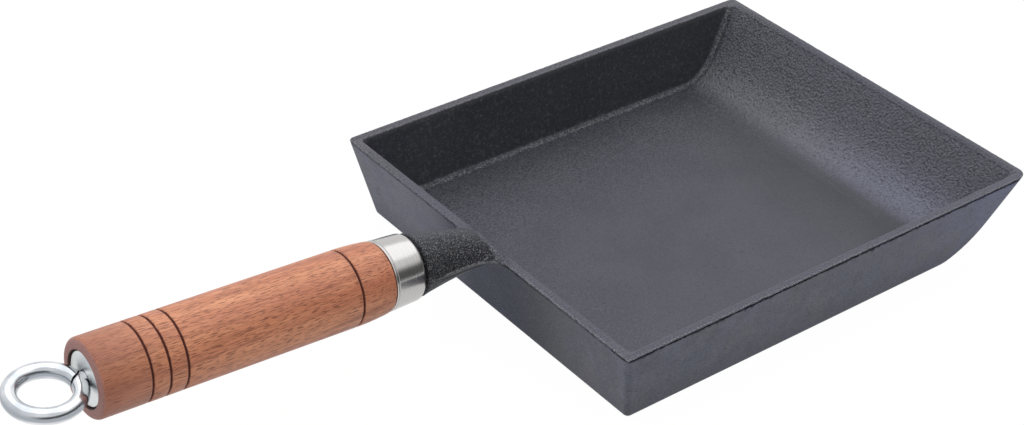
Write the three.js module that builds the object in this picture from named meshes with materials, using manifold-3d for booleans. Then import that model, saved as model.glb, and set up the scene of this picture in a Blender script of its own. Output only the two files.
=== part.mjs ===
// A square cast-iron omelette pan with a turned beech handle, clamped to the pan's neck by one long eye bolt.
// Millimetres, +Z up. The origin is below the middle of the rim, on the surface that the pan stands on.
// The handle points along -X, and the lip at the far end flares out along +X.
import * as THREE from 'three';
import { mergeVertices } from 'three/addons/utils/BufferGeometryUtils.js';
import Module from 'manifold-3d';

// Pan, outside: its size at the rim, and how far the foot of each wall stands in from its rim
const RIM_LENGTH = 180;
const RIM_WIDTH = 150;
const PAN_HEIGHT = 30;
const SIDE_INSET = 6.2;
const HANDLE_END_INSET = 7.3;
const FLARE_LEAN = THREE.MathUtils.degToRad(32);
const FLARE_BEND = 27;
const HANDLE_END_CORNER = 3;
const FLARE_CORNER = 4.5;
const FOOT_ROUND = 1.5;
const RIM_OUTER_ROUND = 1;

// Pan, inside: wall thicknesses are measured level, at the rim
const SIDE_WALL = 3.2;
const HANDLE_END_WALL = 3.6;
const FLARE_WALL = 4.2;
const FLOOR_THICKNESS = 4.3;
const INNER_CORNER = 5;
const FLOOR_FILLET = 4;
const RIM_INNER_ROUND = 0.5;

// Handle axis: it crosses the rim's outer edge a little above the rim and rises away from the pan
const HANDLE_RISE = THREE.MathUtils.degToRad(3.5);
const AXIS_ABOVE_RIM = 0.3;

// Neck: the cast stub between the wall and the handle, round at its collar and flatter at its root
const NECK_LENGTH = 26.6;
const COLLAR_RADIUS = 10.5;
const COLLAR_EDGE = 0.8;
const NECK_HALF_WIDTH = 8.8;
const NECK_ROOT_DEPTH = 5.6;
const NECK_PARTING_DROP = 1;
const NECK_SIDE_FILLET = 8;
const NECK_UNDER_FILLET = 5;
const NECK_BURIED_SHORT_OF_INSIDE = 0.4;
const SPIGOT_RADIUS = 8;
const SPIGOT_LENGTH = 5.2;
const TAPPED_DEPTH = 18;

// How the neck grows from its root to the collar: a power under 1 grows early, one over 1 grows late.
// The peak is how far the upper half is drawn in above the parting line: 1 is round.
const NECK_SIDE_GROWTH = 3;
const NECK_TOP_GROWTH = 0.5;
const NECK_UNDER_GROWTH = 1.5;
const NECK_PARTING_GROWTH = 4;
const NECK_PEAK_GROWTH = 0.5;
const NECK_ROOT_PEAK = 2;
const COLLAR_PEAK = 1;

// Ferrule: a drawn sleeve, standing just clear of the collar
const FERRULE_STANDOFF = 1.4;
const FERRULE_LENGTH = 11.5;
const FERRULE_FRONT_RADIUS = 11.1;
const FERRULE_REAR_RADIUS = 11.6;
const FERRULE_SHEET = 0.8;
const FERRULE_EDGE = 1.2;

// Grip: the length is counted from the shoulder behind the ferrule
const GRIP_RADIUS = 12.5;
const GRIP_LENGTH = 101.4;
const GRIP_SHOULDER_PROUD = 0.1;
const GRIP_SWELL_LENGTH = 12;
const GRIP_END_ROUND = 1.6;
const GROOVE_WIDTH = 1;
const GROOVE_FLOOR_WIDTH = 0.5;
const GROOVE_DEPTH = 0.5;
const FRONT_GROOVE_FROM_SHOULDER = 12.6;
const REAR_GROOVE_FROM_END = 16;
const REAR_GROOVE_PITCH = 5.85;
const REAR_GROOVES = 3;
const COUNTERBORE_DEPTH = 2.7;
const COUNTERBORE_CLEARANCE = 0.7;

// Washer: a wide one for the bolt
const WASHER_RADIUS = 8.6;
const WASHER_THICKNESS = 1.5;

// Eye bolt: one bent rod, threaded at its tip. The eye's radius is that of the rod's middle line.
const ROD_RADIUS = 2.4;
const ROD_TIP_CHAMFER = 0.7;
const ROD_TIP_GAP = 2;
const EYE_RADIUS = 10.3;
const EYE_BEND_INSIDE = 0.2;
const EYE_CUT_GAP = 0.6;
const EYE_ROLL = THREE.MathUtils.degToRad(-3);

// Gap that fitted and touching pieces keep
const GAP = 0.3;

// Facets. The neck's rings crowd towards its root.
const CORNER_STEPS = 6;
const BEND_STEPS = 10;
const NECK_STEPS = 14;
const NECK_RING_CROWDING = 1.5;
const NECK_SIDES = 32;
const LATHE_SIDES = 40;
const HOLE_SIDES = 24;
const ROUND_STEPS = 4;
const SWELL_STEPS = 5;
const ROD_SIDES = 14;
const EYE_STEPS = 40;
const EYE_BEND_STEPS = 5;

// Places along the handle axis, counted from the rim's outer edge
const spigotEnd = NECK_LENGTH + SPIGOT_LENGTH;
const ferruleFront = NECK_LENGTH + FERRULE_STANDOFF;
const ferruleRear = ferruleFront + FERRULE_LENGTH;
const gripFront = spigotEnd + GAP;
const gripShoulder = ferruleRear + GAP;
const gripEnd = gripShoulder + GRIP_LENGTH;
const counterboreFloor = gripEnd - COUNTERBORE_DEPTH;
const washerInner = counterboreFloor + GAP;
const washerOuter = washerInner + WASHER_THICKNESS;
const tappedFloor = spigotEnd - TAPPED_DEPTH;
const rodTip = tappedFloor + ROD_TIP_GAP;
const eyeStart = washerOuter + GAP;
const boltBoreRadius = ROD_RADIUS + GAP;

const wasm = await Module();
wasm.setup();

function toSolid(geometry) {
  geometry.deleteAttribute('normal');
  geometry.deleteAttribute('uv');
  const merged = mergeVertices(geometry);
  const vertProperties = new Float32Array(merged.attributes.position.array);
  const triVerts = new Uint32Array(merged.index.array);
  return new wasm.Manifold(new wasm.Mesh({ numProp: 3, vertProperties, triVerts }));
}

function toGeometry(solid) {
  const { vertProperties, triVerts } = solid.getMesh();
  const geometry = new THREE.BufferGeometry();
  geometry.setAttribute('position', new THREE.BufferAttribute(vertProperties, 3));
  geometry.setIndex(new THREE.BufferAttribute(triVerts, 1));
  geometry.computeVertexNormals();
  return geometry;
}

// A closed skin over rings that have the same number of points, with a fan over the first and the last ring.
// The points run anticlockwise as seen from where the rings are heading.
function loft(rings) {
  const sides = rings[0].length;
  const middle = (ring) => {
    const sum = new THREE.Vector3();
    ring.forEach((point) => sum.add(point));
    return sum.divideScalar(sides);
  };
  const points = [...rings.flat(), middle(rings[0]), middle(rings[rings.length - 1])];
  const firstMiddle = points.length - 2;
  const lastMiddle = points.length - 1;
  const lastRing = (rings.length - 1) * sides;
  const faces = [];
  for (let side = 0; side < sides; side += 1) {
    const next = (side + 1) % sides;
    faces.push(firstMiddle, next, side);
    faces.push(lastMiddle, lastRing + side, lastRing + next);
    for (let base = 0; base < lastRing; base += sides) {
      faces.push(base + side, base + next, base + sides + next);
      faces.push(base + side, base + sides + next, base + sides + side);
    }
  }
  const geometry = new THREE.BufferGeometry().setFromPoints(points);
  geometry.setIndex(faces);
  geometry.computeVertexNormals();
  return geometry;
}

// How far a fillet or round of this radius reaches aside, at a distance from the face that it runs into
function filletReach(radius, distance) {
  const left = THREE.MathUtils.clamp(radius - distance, 0, radius);
  return radius - Math.sqrt(radius ** 2 - left ** 2);
}

// The flared end: a bend that starts level at floorHeight and ends in a straight lip up to the rim
function flareProfile(rimX, floorHeight, bend) {
  const turn = Math.PI / 2 - FLARE_LEAN;
  const straightFoot = rimX - (PAN_HEIGHT - floorHeight) * Math.tan(FLARE_LEAN);
  const bendStart = straightFoot - bend * Math.tan(turn / 2);
  const bendTop = floorHeight + bend * (1 - Math.cos(turn));
  const reach = (height) =>
    height < bendTop
      ? bendStart + Math.sqrt(bend ** 2 - (bend - (height - floorHeight)) ** 2)
      : rimX - (PAN_HEIGHT - height) * Math.tan(FLARE_LEAN);
  const heights = [];
  for (let step = 0; step <= BEND_STEPS; step += 1) {
    heights.push(floorHeight + bend * (1 - Math.cos((turn * step) / BEND_STEPS)));
  }
  return { reach, heights };
}

// A level ring with rounded corners, anticlockwise from above. Left is the handle's end.
function cornerRing(height, left, right, halfWidth, leftRadius, rightRadius) {
  const corners = [
    { x: right - rightRadius, y: halfWidth - rightRadius, radius: rightRadius },
    { x: left + leftRadius, y: halfWidth - leftRadius, radius: leftRadius },
    { x: left + leftRadius, y: leftRadius - halfWidth, radius: leftRadius },
    { x: right - rightRadius, y: rightRadius - halfWidth, radius: rightRadius },
  ];
  return corners.flatMap(({ x, y, radius }, corner) =>
    Array.from({ length: CORNER_STEPS + 1 }, (_, step) => {
      const angle = (Math.PI / 2) * (corner + step / CORNER_STEPS);
      return new THREE.Vector3(x + radius * Math.cos(angle), y + radius * Math.sin(angle), height);
    }),
  );
}

// Floor and walls: up the outside, over the rim and down the inside
function bowl() {
  const halfLength = RIM_LENGTH / 2;
  const halfWidth = RIM_WIDTH / 2;
  const outerFlare = flareProfile(halfLength, 0, FLARE_BEND);
  const innerFlare = flareProfile(halfLength - FLARE_WALL, FLOOR_THICKNESS, FLARE_BEND - FLARE_WALL);
  const belowRim = (height) => 1 - height / PAN_HEIGHT;

  const outerRing = (height) => {
    const edge = filletReach(RIM_OUTER_ROUND, PAN_HEIGHT - height);
    const foot = filletReach(FOOT_ROUND, height) + edge;
    return cornerRing(
      height,
      -halfLength + HANDLE_END_INSET * belowRim(height) + foot,
      outerFlare.reach(height) - edge,
      halfWidth - SIDE_INSET * belowRim(height) - foot,
      HANDLE_END_CORNER,
      FLARE_CORNER,
    );
  };
  const innerRing = (height) => {
    const edge = filletReach(RIM_INNER_ROUND, PAN_HEIGHT - height);
    const fillet = filletReach(FLOOR_FILLET, height - FLOOR_THICKNESS) - edge;
    return cornerRing(
      height,
      -halfLength + HANDLE_END_WALL + HANDLE_END_INSET * belowRim(height) + fillet,
      innerFlare.reach(height) + edge,
      halfWidth - SIDE_WALL - SIDE_INSET * belowRim(height) - fillet,
      INNER_CORNER,
      INNER_CORNER,
    );
  };
  const roundHeights = (radius) =>
    Array.from({ length: ROUND_STEPS + 1 }, (_, step) => {
      const angle = (Math.PI / 2) * (step / ROUND_STEPS);
      return PAN_HEIGHT - radius * (1 - Math.sin(angle));
    });
  const outerHeights = [...outerFlare.heights, ...roundHeights(RIM_OUTER_ROUND)];
  const innerHeights = [...innerFlare.heights, ...roundHeights(RIM_INNER_ROUND)];
  return loft([...outerHeights.map(outerRing), ...innerHeights.reverse().map(innerRing)]);
}

// Neck, collar and spigot along the handle axis, from inside the wall outwards
function neck() {
  const rootAt = NECK_BURIED_SHORT_OF_INSIDE - HANDLE_END_WALL;
  const wallUnderNeck = (-NECK_ROOT_DEPTH * HANDLE_END_INSET) / PAN_HEIGHT;
  const between = (root, collar, share, growth) => root + (collar - root) * share ** growth;
  // The two halves of a section meet at the parting line
  const section = (along, half, parting, top, bottom, peak) =>
    Array.from({ length: NECK_SIDES }, (_, side) => {
      const angle = (2 * Math.PI * side) / NECK_SIDES;
      const up = Math.cos(angle);
      const height = up > 0 ? (top - parting) * up ** peak : (bottom + parting) * up;
      return new THREE.Vector3(half * Math.sin(angle), along, parting + height);
    });
  const round = (along, radius) => section(along, radius, 0, radius, radius, COLLAR_PEAK);
  const rings = [];
  for (let step = 0; step < NECK_STEPS; step += 1) {
    const along = between(rootAt, NECK_LENGTH - COLLAR_EDGE, step / NECK_STEPS, NECK_RING_CROWDING);
    const outward = Math.max(along, 0) / NECK_LENGTH;
    const fromRoot = (along - rootAt) / (NECK_LENGTH - rootAt);
    const half = between(NECK_HALF_WIDTH, COLLAR_RADIUS, outward, NECK_SIDE_GROWTH);
    const bottom = between(NECK_ROOT_DEPTH, COLLAR_RADIUS, outward, NECK_UNDER_GROWTH);
    rings.push(
      section(
        along,
        half + filletReach(NECK_SIDE_FILLET, along),
        between(-NECK_PARTING_DROP, 0, outward, NECK_PARTING_GROWTH),
        between(0, COLLAR_RADIUS, fromRoot, NECK_TOP_GROWTH),
        bottom + filletReach(NECK_UNDER_FILLET, along - wallUnderNeck),
        between(NECK_ROOT_PEAK, COLLAR_PEAK, outward, NECK_PEAK_GROWTH),
      ),
    );
  }
  for (let step = 0; step <= ROUND_STEPS; step += 1) {
    const along = COLLAR_EDGE * (1 - step / ROUND_STEPS);
    rings.push(round(NECK_LENGTH - along, COLLAR_RADIUS - filletReach(COLLAR_EDGE, along)));
  }
  rings.push(round(NECK_LENGTH, SPIGOT_RADIUS), round(spigotEnd, SPIGOT_RADIUS));
  return loft(rings);
}

// The tapped hole, open at the spigot's end
function tappedHole() {
  const length = spigotEnd - tappedFloor + GAP;
  const hole = new THREE.CylinderGeometry(boltBoreRadius, boltBoreRadius, length, HOLE_SIDES);
  return hole.translate(0, tappedFloor + length / 2, 0);
}

function castingGeometry(handleMatrix) {
  const body = toSolid(bowl());
  const stub = toSolid(neck().applyMatrix4(handleMatrix));
  const hole = toSolid(tappedHole().applyMatrix4(handleMatrix));
  return toGeometry(body.add(stub).subtract(hole));
}

// A turned piece: (radius, place along the axis) from its inner front corner, out and back along the bore
function turned(profile) {
  const points = profile.map(([radius, along]) => new THREE.Vector2(radius, along));
  return new THREE.LatheGeometry([...points, points[0].clone()], LATHE_SIDES);
}

const ferruleRadiusAt = (along) =>
  FERRULE_FRONT_RADIUS
  + ((FERRULE_REAR_RADIUS - FERRULE_FRONT_RADIUS) * (along - ferruleFront)) / FERRULE_LENGTH;

function ferruleGeometry() {
  const profile = [[SPIGOT_RADIUS + GAP, ferruleFront]];
  for (let step = 0; step <= ROUND_STEPS; step += 1) {
    const angle = (Math.PI / 2) * (step / ROUND_STEPS);
    const along = ferruleFront + FERRULE_EDGE * (1 - Math.cos(angle));
    profile.push([ferruleRadiusAt(along) - FERRULE_EDGE * (1 - Math.sin(angle)), along]);
  }
  const inside = ferruleFront + FERRULE_SHEET;
  profile.push(
    [FERRULE_REAR_RADIUS, ferruleRear],
    [FERRULE_REAR_RADIUS - FERRULE_SHEET, ferruleRear],
    [ferruleRadiusAt(inside) - FERRULE_SHEET, inside],
    [SPIGOT_RADIUS + GAP, inside],
  );
  return turned(profile);
}

// The grip swells from its shoulder along a parabola
function gripGeometry() {
  const shoulderRadius = FERRULE_REAR_RADIUS + GRIP_SHOULDER_PROUD;
  const tenonRadius = (along) => ferruleRadiusAt(along) - FERRULE_SHEET - GAP;
  const counterboreRadius = WASHER_RADIUS + COUNTERBORE_CLEARANCE;
  const profile = [
    [boltBoreRadius, gripFront],
    [tenonRadius(gripFront), gripFront],
    [tenonRadius(gripShoulder), gripShoulder],
  ];
  for (let step = 0; step <= SWELL_STEPS; step += 1) {
    const left = 1 - step / SWELL_STEPS;
    const radius = GRIP_RADIUS - (GRIP_RADIUS - shoulderRadius) * left ** 2;
    profile.push([radius, gripShoulder + GRIP_SWELL_LENGTH * (1 - left)]);
  }
  const grooves = [gripShoulder + FRONT_GROOVE_FROM_SHOULDER];
  for (let groove = REAR_GROOVES - 1; groove >= 0; groove -= 1) {
    grooves.push(gripEnd - REAR_GROOVE_FROM_END - REAR_GROOVE_PITCH * groove);
  }
  for (const along of grooves) {
    profile.push(
      [GRIP_RADIUS, along - GROOVE_WIDTH / 2],
      [GRIP_RADIUS - GROOVE_DEPTH, along - GROOVE_FLOOR_WIDTH / 2],
      [GRIP_RADIUS - GROOVE_DEPTH, along + GROOVE_FLOOR_WIDTH / 2],
      [GRIP_RADIUS, along + GROOVE_WIDTH / 2],
    );
  }
  for (let step = 0; step <= ROUND_STEPS; step += 1) {
    const angle = (Math.PI / 2) * (step / ROUND_STEPS);
    profile.push([
      GRIP_RADIUS - GRIP_END_ROUND * (1 - Math.cos(angle)),
      gripEnd - GRIP_END_ROUND * (1 - Math.sin(angle)),
    ]);
  }
  profile.push(
    [counterboreRadius, gripEnd],
    [counterboreRadius, counterboreFloor],
    [boltBoreRadius, counterboreFloor],
  );
  return turned(profile);
}

function washerGeometry() {
  return turned([
    [boltBoreRadius, washerInner],
    [WASHER_RADIUS, washerInner],
    [WASHER_RADIUS, washerOuter],
    [boltBoreRadius, washerOuter],
  ]);
}

// The rod lies in one plane: thread, shank, a sharp bend aside, then once round the eye to its cut end
function eyeBoltGeometry() {
  const bend = ROD_RADIUS + EYE_BEND_INSIDE;
  const eyeCentre = eyeStart + Math.sqrt(EYE_RADIUS ** 2 + 2 * EYE_RADIUS * bend);
  const joinAngle = Math.asin(bend / (EYE_RADIUS + bend));
  const cutAngle = 2 * Math.PI - Math.asin((ROD_RADIUS + EYE_CUT_GAP) / (EYE_RADIUS + ROD_RADIUS));
  const rings = [];
  const addRing = (x, along, heading, radius = ROD_RADIUS) => {
    const ring = Array.from({ length: ROD_SIDES }, (_, side) => {
      const angle = (-2 * Math.PI * side) / ROD_SIDES;
      const aside = radius * Math.cos(angle);
      const up = radius * Math.sin(angle);
      return new THREE.Vector3(x + aside * Math.cos(heading), along + aside * Math.sin(heading), up);
    });
    rings.push(ring);
  };
  addRing(0, rodTip, 0, ROD_RADIUS - ROD_TIP_CHAMFER);
  addRing(0, rodTip + ROD_TIP_CHAMFER, 0);
  for (let step = 0; step < EYE_BEND_STEPS; step += 1) {
    const turn = (Math.PI / 2 - joinAngle) * (step / EYE_BEND_STEPS);
    addRing(bend * (Math.cos(turn) - 1), eyeStart + bend * Math.sin(turn), turn);
  }
  for (let step = 0; step <= EYE_STEPS; step += 1) {
    const angle = joinAngle + (cutAngle - joinAngle) * (step / EYE_STEPS);
    const heading = Math.PI / 2 - angle;
    addRing(-EYE_RADIUS * Math.sin(angle), eyeCentre - EYE_RADIUS * Math.cos(angle), heading);
  }
  return loft(rings);
}

const castIron = new THREE.MeshStandardMaterial({ color: 0x3b3c40, roughness: 0.6, metalness: 0.6 });
const polishedSteel = new THREE.MeshStandardMaterial({ color: 0xd2cfca, roughness: 0.2, metalness: 1 });
const beech = new THREE.MeshStandardMaterial({ color: 0xb06c4c, roughness: 0.55, metalness: 0 });
const zincPlate = new THREE.MeshStandardMaterial({ color: 0xd6dade, roughness: 0.25, metalness: 1 });

function named(name, geometry, material) {
  const mesh = new THREE.Mesh(geometry, material);
  mesh.name = name;
  return mesh;
}

// The handle's own frame: Y along its axis, away from the pan, and Z up
const handle = new THREE.Group();
handle.position.set(-RIM_LENGTH / 2, 0, PAN_HEIGHT + AXIS_ABOVE_RIM);
handle.rotation.set(HANDLE_RISE, 0, Math.PI / 2, 'ZXY');
handle.updateMatrix();

const eyeBolt = named('eye_bolt', eyeBoltGeometry(), zincPlate);
eyeBolt.rotation.y = EYE_ROLL;
handle.add(
  named('ferrule', ferruleGeometry(), polishedSteel),
  named('handle_grip', gripGeometry(), beech),
  named('end_washer', washerGeometry(), zincPlate),
  eyeBolt,
);

const pan = new THREE.Group();
pan.add(named('pan_casting', castingGeometry(handle.matrix), castIron), handle);

export default pan;
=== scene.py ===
import math

import bmesh
import bpy
from mathutils import Matrix, Vector, noise


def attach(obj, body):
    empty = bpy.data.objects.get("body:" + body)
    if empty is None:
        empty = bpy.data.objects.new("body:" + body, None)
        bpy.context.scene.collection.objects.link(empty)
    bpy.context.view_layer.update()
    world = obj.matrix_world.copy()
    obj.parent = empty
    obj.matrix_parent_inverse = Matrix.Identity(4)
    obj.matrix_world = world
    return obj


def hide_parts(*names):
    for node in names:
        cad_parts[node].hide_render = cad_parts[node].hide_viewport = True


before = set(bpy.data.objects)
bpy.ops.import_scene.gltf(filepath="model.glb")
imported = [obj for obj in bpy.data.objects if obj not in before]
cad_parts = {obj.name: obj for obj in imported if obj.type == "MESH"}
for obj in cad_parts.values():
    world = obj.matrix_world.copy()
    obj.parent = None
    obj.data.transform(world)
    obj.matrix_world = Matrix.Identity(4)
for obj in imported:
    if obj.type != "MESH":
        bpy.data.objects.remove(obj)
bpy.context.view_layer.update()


# The pan: one sand casting in grey iron. Three walls are drafted, and the one opposite the handle leans out
# to a flared lip. The stub neck for the handle is cast with it, then faced, turned to a spigot and tapped.
# Its blackened skin is pebbled by the sand on the lip and the neck, and smoother on the floor and the walls.
MM = 0.001
RIM_LENGTH, RIM_WIDTH, PAN_HEIGHT = 180 * MM, 150 * MM, 30 * MM
SIDE_INSET, HANDLE_END_INSET = 6.2 * MM, 7.3 * MM
FLARE_LEAN = math.radians(32)
SIDE_WALL, HANDLE_END_WALL, FLARE_WALL, FLOOR = 3.2 * MM, 3.6 * MM, 4.2 * MM, 4.3 * MM
FLARE_BEND = 27 * MM
# the corners from the front handle corner round: below the parting crease, above it, and in the well
BODY_CORNERS = (1.8 * MM, 4.2 * MM, 2.4 * MM, 2.2 * MM)
RIM_CORNERS = (0.7 * MM, 4.2 * MM, 2.2 * MM, 2.2 * MM)
WELL_CORNERS, SMALLEST_CORNER = (1.8 * MM, 2.8 * MM, 2.8 * MM, 1.8 * MM), 0.4 * MM
FOOT_ROUND, FLOOR_FILLET = 1.5 * MM, 1.9 * MM
RIM_OUTER_ROUND, RIM_INNER_ROUND = 0.3 * MM, 0.5 * MM
CREASE_TOP, CREASE_FOOT, CREASE_DEPTH = 29.68 * MM, 28.85 * MM, 0.8 * MM
# how open the crease is on the near side, the flare, the far side and the handle end, and at the corners
CREASE_STRENGTH, CREASE_AT_CORNERS = (1, 0.6, 0.8, 0.25), 0.5
# the crease from its foot up: share of the way down, share of the depth
CREASE_SHAPE = ((1.5, 0), (1, 0), (0.85, 0.9), (0.35, 1), (0, 0.15))
CORNER_STEPS, LONG_SIDE_STEPS, SHORT_SIDE_STEPS = 8, 340, 230
# heights of the rings above the flare's bend, outside going up and in the well going down
OUTER_RINGS = (12.7 * MM, 17 * MM, 21 * MM, 25 * MM, 28.2 * MM)
WELL_RINGS, WELL_BEND_TOP = (27.5 * MM, 24 * MM, 20 * MM, 17 * MM), 15.2 * MM
TOLERANCE = 0.01 * MM


def fillet_reach(radius, distance):
    """How far a fillet stands out from one face at this distance from the other."""
    short = min(max(radius - distance, 0), radius)
    return radius - math.sqrt(radius**2 - short**2)


def flare_line(rim_x, foot_z, bend, height):
    """How far out the flared end stands at this height: a straight lean that a bend carries into the foot."""
    above = height - foot_z
    lean_foot = rim_x - (PAN_HEIGHT - foot_z) * math.tan(FLARE_LEAN)
    bend_start = lean_foot - bend * math.tan((math.pi / 2 - FLARE_LEAN) / 2)
    if above >= bend * (1 - math.sin(FLARE_LEAN)):
        return lean_foot + above * math.tan(FLARE_LEAN)
    return bend_start + math.sqrt(max(0, bend**2 - (bend - above) ** 2))


def outer_section(height):
    """Ends, half width and corners of the outside at this height."""
    rim_round = fillet_reach(RIM_OUTER_ROUND, PAN_HEIGHT - height)
    edge = fillet_reach(FOOT_ROUND, height) + rim_round
    lean = 1 - height / PAN_HEIGHT
    corners = RIM_CORNERS if height > CREASE_TOP - TOLERANCE else BODY_CORNERS
    return (-RIM_LENGTH / 2 + HANDLE_END_INSET * lean + edge,
            flare_line(RIM_LENGTH / 2, 0, FLARE_BEND, height) - rim_round,
            RIM_WIDTH / 2 - SIDE_INSET * lean - edge,
            [max(corner - edge, SMALLEST_CORNER) for corner in corners])


def inner_section(height):
    """Ends, half width and corners of the well at this height."""
    opening = fillet_reach(RIM_INNER_ROUND, PAN_HEIGHT - height)
    foot = fillet_reach(FLOOR_FILLET, height - FLOOR)
    lean = 1 - height / PAN_HEIGHT
    flare = flare_line(RIM_LENGTH / 2 - FLARE_WALL, FLOOR, FLARE_BEND - FLARE_WALL, height)
    return (-RIM_LENGTH / 2 + HANDLE_END_WALL + HANDLE_END_INSET * lean + foot - opening, flare + opening,
            RIM_WIDTH / 2 - SIDE_WALL - SIDE_INSET * lean - foot + opening,
            [max(corner - foot, SMALLEST_CORNER) for corner in WELL_CORNERS])


# the way round a section: each corner's arc, then the side to the next corner, from the front handle corner
way_round = []
for corner, side_steps in enumerate((LONG_SIDE_STEPS, SHORT_SIDE_STEPS) * 2):
    way_round += [(corner, step / CORNER_STEPS, 0) for step in range(CORNER_STEPS + 1)]
    way_round += [(corner, 1, step / side_steps) for step in range(1, side_steps)]


def section_point(section, height, station):
    """The point of a section at one station of the way round."""
    left, right, half, corners = section

    def on_arc(corner, share):
        radius = corners[corner % 4]
        x = right - radius if corner % 4 in (1, 2) else left + radius
        y = half - radius if corner % 4 in (2, 3) else radius - half
        angle = math.pi + (corner + share) * math.pi / 2
        return Vector((x + radius * math.cos(angle), y + radius * math.sin(angle), height))

    corner, turned, along_side = way_round[station]
    return on_arc(corner, turned).lerp(on_arc(corner + 1, 0), along_side)


def ragged(point, wave):
    """Uneven, between -1 and 1, in waves of this length."""
    return noise.noise(point / wave)


def crease_point(station, share_down, share_deep):
    """A point of the parting crease: open on the near side, only a scratch at the handle end."""
    point = section_point(outer_section(CREASE_TOP), CREASE_TOP, station)
    corner, turned, along_side = way_round[station]
    strength = CREASE_STRENGTH[corner] if turned == 1 and along_side else CREASE_AT_CORNERS
    open_by = strength * (0.55 + 0.35 * ragged(point, 6 * MM) + 0.6 * ragged(point, 1.5 * MM))
    open_by = max(0.05 if strength == CREASE_STRENGTH[3] else 0.12, open_by)
    height = CREASE_TOP + 0.07 * MM * ragged(point + Vector((0, 0, 9 * MM)), 1.3 * MM)
    height -= (CREASE_TOP - CREASE_FOOT) * (0.45 + 1.1 * open_by) * share_down
    inward = CREASE_DEPTH * open_by * share_deep
    left, right, half, corners = outer_section(CREASE_FOOT if share_down > 0.5 else CREASE_TOP)
    return section_point((left + inward, right - inward, half - inward, corners), height, station)


def rim_point(height, station):
    """A point of the rim's edge, nicked here and there."""
    point = section_point(outer_section(height), height, station)
    nick = max(0, ragged(point, 3 * MM) - 0.1) * 0.4 * MM + ragged(point, 1.1 * MM) * 0.08 * MM
    towards = Vector((-point.x, -point.y, 0)).normalized()
    return point + towards * nick


def well_point(height, station):
    """A point of the well's skin, a little uneven along the foot of its walls."""
    point = section_point(inner_section(height), height, station)
    towards = Vector((-point.x, -point.y, 0)).normalized()
    uneven = 0.12 * MM if height < FLOOR + FLOOR_FILLET else 0.01 * MM
    return point + towards * ragged(point, 2.5 * MM) * uneven


def ring_at(section_at, height):
    return lambda station: section_point(section_at(height), height, station)


def rounded(radius, steps):
    """Distances from an edge, closer together the nearer they are to it, for a round of this radius."""
    return [radius * (1 - math.cos(math.pi / 2 * i / steps)) for i in range(steps + 1)]


bend_heights = [FLARE_BEND * (1 - math.cos(math.radians(a))) for a in range(16, 58, 6)]
wall_heights = rounded(FOOT_ROUND, 6) + [h for h in bend_heights if h > FOOT_ROUND + 0.2 * MM]
wall_heights += OUTER_RINGS
rings = [ring_at(outer_section, h) for h in wall_heights]
rings += [lambda s, d=down, i=deep: crease_point(s, d, i) for down, deep in CREASE_SHAPE]
rings += [lambda s, h=PAN_HEIGHT - d: rim_point(h, s) for d in reversed(rounded(RIM_OUTER_ROUND, 5))]
rings += [lambda s, h=PAN_HEIGHT - d: well_point(h, s) for d in rounded(RIM_INNER_ROUND, 3)]
bend_inside = FLARE_BEND - FLARE_WALL
low_heights = {FLOOR + d for d in rounded(FLOOR_FILLET, 6)}
low_heights |= {FLOOR + bend_inside * (1 - math.cos(math.radians(a))) for a in range(5, 59, 4)}
low_heights = sorted(h for h in low_heights if h < WELL_BEND_TOP)
rings += [lambda s, h=height: well_point(h, s) for height in (*WELL_RINGS, *low_heights[:0:-1])]
rings += [ring_at(inner_section, FLOOR)]


def shape_ring(piece, place):
    """Puts each selected point where place() says, by the station that it was given on the first ring."""
    shape = bmesh.from_edit_mesh(piece.data)
    station = shape.verts.layers.int["station"]
    for point in shape.verts:
        if point.select:
            point.co = place(point[station])
    bmesh.update_edit_mesh(piece.data)


def first_ring(name, count):
    """A filled circle whose points are numbered round it, in edit mode, ready to be drawn out."""
    bpy.ops.object.select_all(action="DESELECT")
    bpy.ops.mesh.primitive_circle_add(vertices=count, radius=10 * MM, fill_type="NGON")
    piece = bpy.context.object
    piece.name = name
    bpy.ops.object.mode_set(mode="EDIT")
    bpy.ops.mesh.select_mode(type="FACE")
    bpy.ops.mesh.select_all(action="SELECT")
    shape = bmesh.from_edit_mesh(piece.data)
    station = shape.verts.layers.int.new("station")
    for number, point in enumerate(shape.verts):
        point[station] = number
    bmesh.update_edit_mesh(piece.data)
    return piece


def draw_out(piece, places):
    """Shapes the first ring and draws the skin out of it, a ring for each place. Both ends are fans."""
    shape_ring(piece, places[0])
    for place in places[1:]:
        bpy.ops.mesh.extrude_region_move()
        shape_ring(piece, place)
    bpy.ops.mesh.select_face_by_sides(number=4, type="GREATER", extend=False)
    bpy.ops.mesh.poke()
    bpy.ops.mesh.select_all(action="SELECT")
    bpy.ops.mesh.normals_make_consistent(inside=False)
    bpy.ops.object.mode_set(mode="OBJECT")


def apply_modifier(piece, kind, **settings):
    """Adds a modifier to the piece, sets it up and applies it."""
    bpy.context.view_layer.objects.active = piece
    modifier = piece.modifiers.new(kind.lower(), kind)
    for name, value in settings.items():
        setattr(modifier, name, value)
    bpy.ops.object.modifier_apply(modifier=modifier.name)


pan = first_ring("pan_body", len(way_round))
draw_out(pan, rings)

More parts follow.
